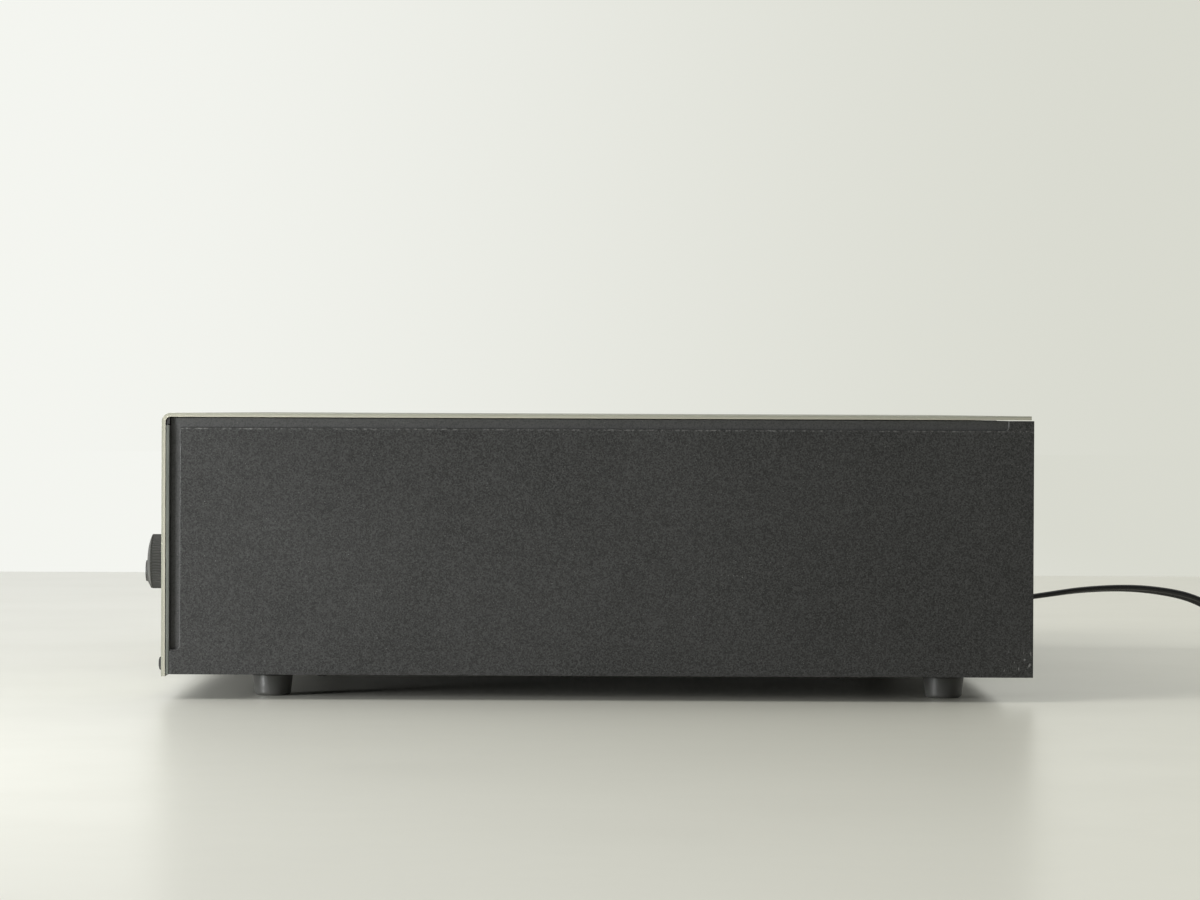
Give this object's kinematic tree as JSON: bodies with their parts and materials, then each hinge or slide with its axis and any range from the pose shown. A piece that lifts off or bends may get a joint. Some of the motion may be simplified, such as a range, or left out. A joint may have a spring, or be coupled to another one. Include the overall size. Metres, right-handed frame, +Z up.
{
  "type": "cassette deck",
  "caption": "Front-loading cassette deck with a bent grey cover, dark side panels, piano keys, ribbed level knobs, a tape transport and a coiled mains lead.",
  "frame": {"origin": "middle of the deck's own box, on the plane of its feet, the mains lead left out", "axes": "+X to the listener's right when facing the deck, +Y to the rear, +Z up; the front faces -Y"},
  "size_m": [0.445, 0.5594, 0.11],
  "materials": {
    "warm_grey_paint": "satin warm grey enamel",
    "grey_sheet": "matt grey",
    "charcoal_paint": "fine textured charcoal paint",
    "black_plastic": "matt moulded black",
    "dark_knob": "satin moulded charcoal",
    "plated_steel": "zinc plated",
    "turned_brass": "turned",
    "smoked_window": "polished smoked acrylic",
    "black_rubber": "matt",
    "board_brown": "bare paper laminate",
    "lamination_steel": "varnished steel stack",
    "coil_tape": "wrapped tape",
    "white_plastic": "satin moulded",
    "red_cap": "satin moulded red"
  },
  "bodies": {
    "chassis": {"wrap_cover": "warm_grey_paint", "front_backing": "grey_sheet", "side_panel_left": "charcoal_paint", "side_panel_right": "charcoal_paint", "bottom_pan": "plated_steel", "rear_panel": "charcoal_paint", "line_sockets": "black_plastic", "foot_front_left": "black_rubber", "foot_front_right": "black_rubber", "foot_rear_left": "black_rubber", "foot_rear_right": "black_rubber", "door_hinge_pin": "plated_steel", "cassette_bay": "black_plastic", "mechanism_plate": "plated_steel", "drive_motor": "plated_steel", "drive_belt": "black_rubber", "key_frame": "black_plastic", "counter_housing": "black_plastic", "level_meter_window": "smoked_window", "level_controls": "board_brown", "headphone_jack": "black_plastic", "transformer_core": "lamination_steel", "transformer_coil": "coil_tape", "main_board": "board_brown", "smoothing_capacitor_left": "black_plastic", "smoothing_capacitor_right": "black_plastic", "cord_boot": "black_rubber", "mains_cord": "black_rubber", "mains_cord_coil": "black_rubber", "mains_cord_tail": "black_rubber", "mains_cord_tie": "black_plastic", "mains_plug": "black_plastic"},
    "cassette_door_body": {"cassette_door": "warm_grey_paint", "door_window": "smoked_window", "cassette_holder": "black_plastic"},
    "eject_button_body": {"eject_button": "dark_knob"},
    "record_key_body": {"record_key": "red_cap"},
    "rewind_key_body": {"rewind_key": "dark_knob"},
    "fast_forward_key_body": {"fast_forward_key": "dark_knob"},
    "play_key_body": {"play_key": "dark_knob"},
    "stop_key_body": {"stop_key": "dark_knob"},
    "pause_key_body": {"pause_key": "dark_knob"},
    "head_bridge_body": {"head_bridge": "plated_steel", "record_play_head": "plated_steel", "erase_head": "plated_steel"},
    "pinch_arm_body": {"pinch_arm": "plated_steel"},
    "pinch_roller_body": {"pinch_roller": "black_rubber"},
    "flywheel_body": {"capstan_flywheel": "turned_brass"},
    "motor_pulley_body": {"motor_pulley": "turned_brass"},
    "supply_spindle_body": {"supply_spindle": "white_plastic"},
    "takeup_spindle_body": {"takeup_spindle": "white_plastic"},
    "counter_units_body": {"counter_wheel_units": "white_plastic"},
    "counter_tens_body": {"counter_wheel_tens": "white_plastic"},
    "counter_hundreds_body": {"counter_wheel_hundreds": "white_plastic"},
    "counter_reset_body": {"counter_reset_button": "dark_knob"},
    "record_level_body": {"record_level_knob": "dark_knob"},
    "output_level_body": {"output_level_knob": "dark_knob"},
    "power_button_body": {"power_button": "black_plastic"},
    "noise_reduction_body": {"noise_reduction_button": "dark_knob"},
    "tape_type_body": {"tape_type_button": "dark_knob"}
  },
  "joints": [
    {"name": "door_hinge", "type": "hinge", "parent": "chassis", "child": "cassette_door_body", "pos_m": [-0.138, -0.1585, 0.0303], "axis": [1, 0, 0], "range_deg": [0, 32]},
    {"name": "eject_press", "type": "slide", "parent": "chassis", "child": "eject_button_body", "axis": [0, 1, 0], "range_m": [0, 0.003], "stiffness_N_per_m": 150},
    {"name": "record_press", "type": "slide", "parent": "chassis", "child": "record_key_body", "axis": [0, 1, 0], "range_m": [0, 0.004], "stiffness_N_per_m": 150},
    {"name": "rewind_press", "type": "slide", "parent": "chassis", "child": "rewind_key_body", "axis": [0, 1, 0], "range_m": [0, 0.004], "stiffness_N_per_m": 150},
    {"name": "fast_forward_press", "type": "slide", "parent": "chassis", "child": "fast_forward_key_body", "axis": [0, 1, 0], "range_m": [0, 0.004], "stiffness_N_per_m": 150},
    {"name": "play_press", "type": "slide", "parent": "chassis", "child": "play_key_body", "axis": [0, 1, 0], "range_m": [0, 0.004], "stiffness_N_per_m": 200},
    {"name": "stop_press", "type": "slide", "parent": "chassis", "child": "stop_key_body", "axis": [0, 1, 0], "range_m": [0, 0.004], "stiffness_N_per_m": 150},
    {"name": "pause_press", "type": "slide", "parent": "chassis", "child": "pause_key_body", "axis": [0, 1, 0], "range_m": [0, 0.004], "stiffness_N_per_m": 150},
    {"name": "head_bridge_lift", "type": "slide", "parent": "chassis", "child": "head_bridge_body", "axis": [0, 0, 1], "range_m": [0, 0.008]},
    {"name": "pinch_arm_swing", "type": "hinge", "parent": "chassis", "child": "pinch_arm_body", "pos_m": [-0.0869, -0.1426, 0.03145], "axis": [0, 1, 0], "range_deg": [0, 23.07]},
    {"name": "pinch_roller_spin", "type": "hinge", "parent": "pinch_arm_body", "child": "pinch_roller_body", "pos_m": [-0.1065, -0.1478, 0.02745], "axis": [0, 1, 0], "continuous": true},
    {"name": "capstan_spin", "type": "hinge", "parent": "chassis", "child": "flywheel_body", "pos_m": [-0.1065, -0.1423, 0.0435], "axis": [0, 1, 0], "continuous": true},
    {"name": "motor_spin", "type": "hinge", "parent": "chassis", "child": "motor_pulley_body", "pos_m": [-0.173, -0.1344, 0.0435], "axis": [0, 1, 0], "continuous": true},
    {"name": "supply_spin", "type": "hinge", "parent": "chassis", "child": "supply_spindle_body", "pos_m": [-0.15925, -0.1423, 0.069], "axis": [0, 1, 0], "continuous": true},
    {"name": "takeup_spin", "type": "hinge", "parent": "chassis", "child": "takeup_spindle_body", "pos_m": [-0.11675, -0.1423, 0.069], "axis": [0, 1, 0], "continuous": true},
    {"name": "counter_units_spin", "type": "hinge", "parent": "chassis", "child": "counter_units_body", "pos_m": [-0.0608, -0.1512, 0.04851], "axis": [1, 0, 0], "continuous": true},
    {"name": "counter_tens_spin", "type": "hinge", "parent": "chassis", "child": "counter_tens_body", "pos_m": [-0.0608, -0.1512, 0.04851], "axis": [1, 0, 0], "continuous": true},
    {"name": "counter_hundreds_spin", "type": "hinge", "parent": "chassis", "child": "counter_hundreds_body", "pos_m": [-0.0608, -0.1512, 0.04851], "axis": [1, 0, 0], "continuous": true},
    {"name": "counter_reset_press", "type": "slide", "parent": "chassis", "child": "counter_reset_body", "axis": [0, 1, 0], "range_m": [0, 0.002], "stiffness_N_per_m": 120},
    {"name": "record_level_turn", "type": "hinge", "parent": "chassis", "child": "record_level_body", "pos_m": [0.1975, -0.1613, 0.0522], "axis": [0, 1, 0], "range_deg": [0, 300]},
    {"name": "output_level_turn", "type": "hinge", "parent": "chassis", "child": "output_level_body", "pos_m": [0.1665, -0.1613, 0.0473], "axis": [0, 1, 0], "range_deg": [0, 300]},
    {"name": "power_press", "type": "slide", "parent": "chassis", "child": "power_button_body", "axis": [0, 1, 0], "range_m": [0, 0.002], "stiffness_N_per_m": 150},
    {"name": "noise_reduction_press", "type": "slide", "parent": "chassis", "child": "noise_reduction_body", "axis": [0, 1, 0], "range_m": [0, 0.0025], "stiffness_N_per_m": 120},
    {"name": "tape_type_press", "type": "slide", "parent": "chassis", "child": "tape_type_body", "axis": [0, 1, 0], "range_m": [0, 0.0025], "stiffness_N_per_m": 120}
  ],
  "couplings": [
    {"joint": "head_bridge_lift", "follows": "play_press", "ratio": 2},
    {"joint": "pinch_arm_swing", "follows": "play_press", "rad_per_m": 100.67},
    {"joint": "motor_spin", "follows": "capstan_spin", "ratio": 6},
    {"joint": "counter_units_spin", "follows": "takeup_spin", "ratio": 0.05},
    {"joint": "counter_tens_spin", "follows": "takeup_spin", "ratio": 0.005},
    {"joint": "counter_hundreds_spin", "follows": "takeup_spin", "ratio": 0.0005}
  ]
}
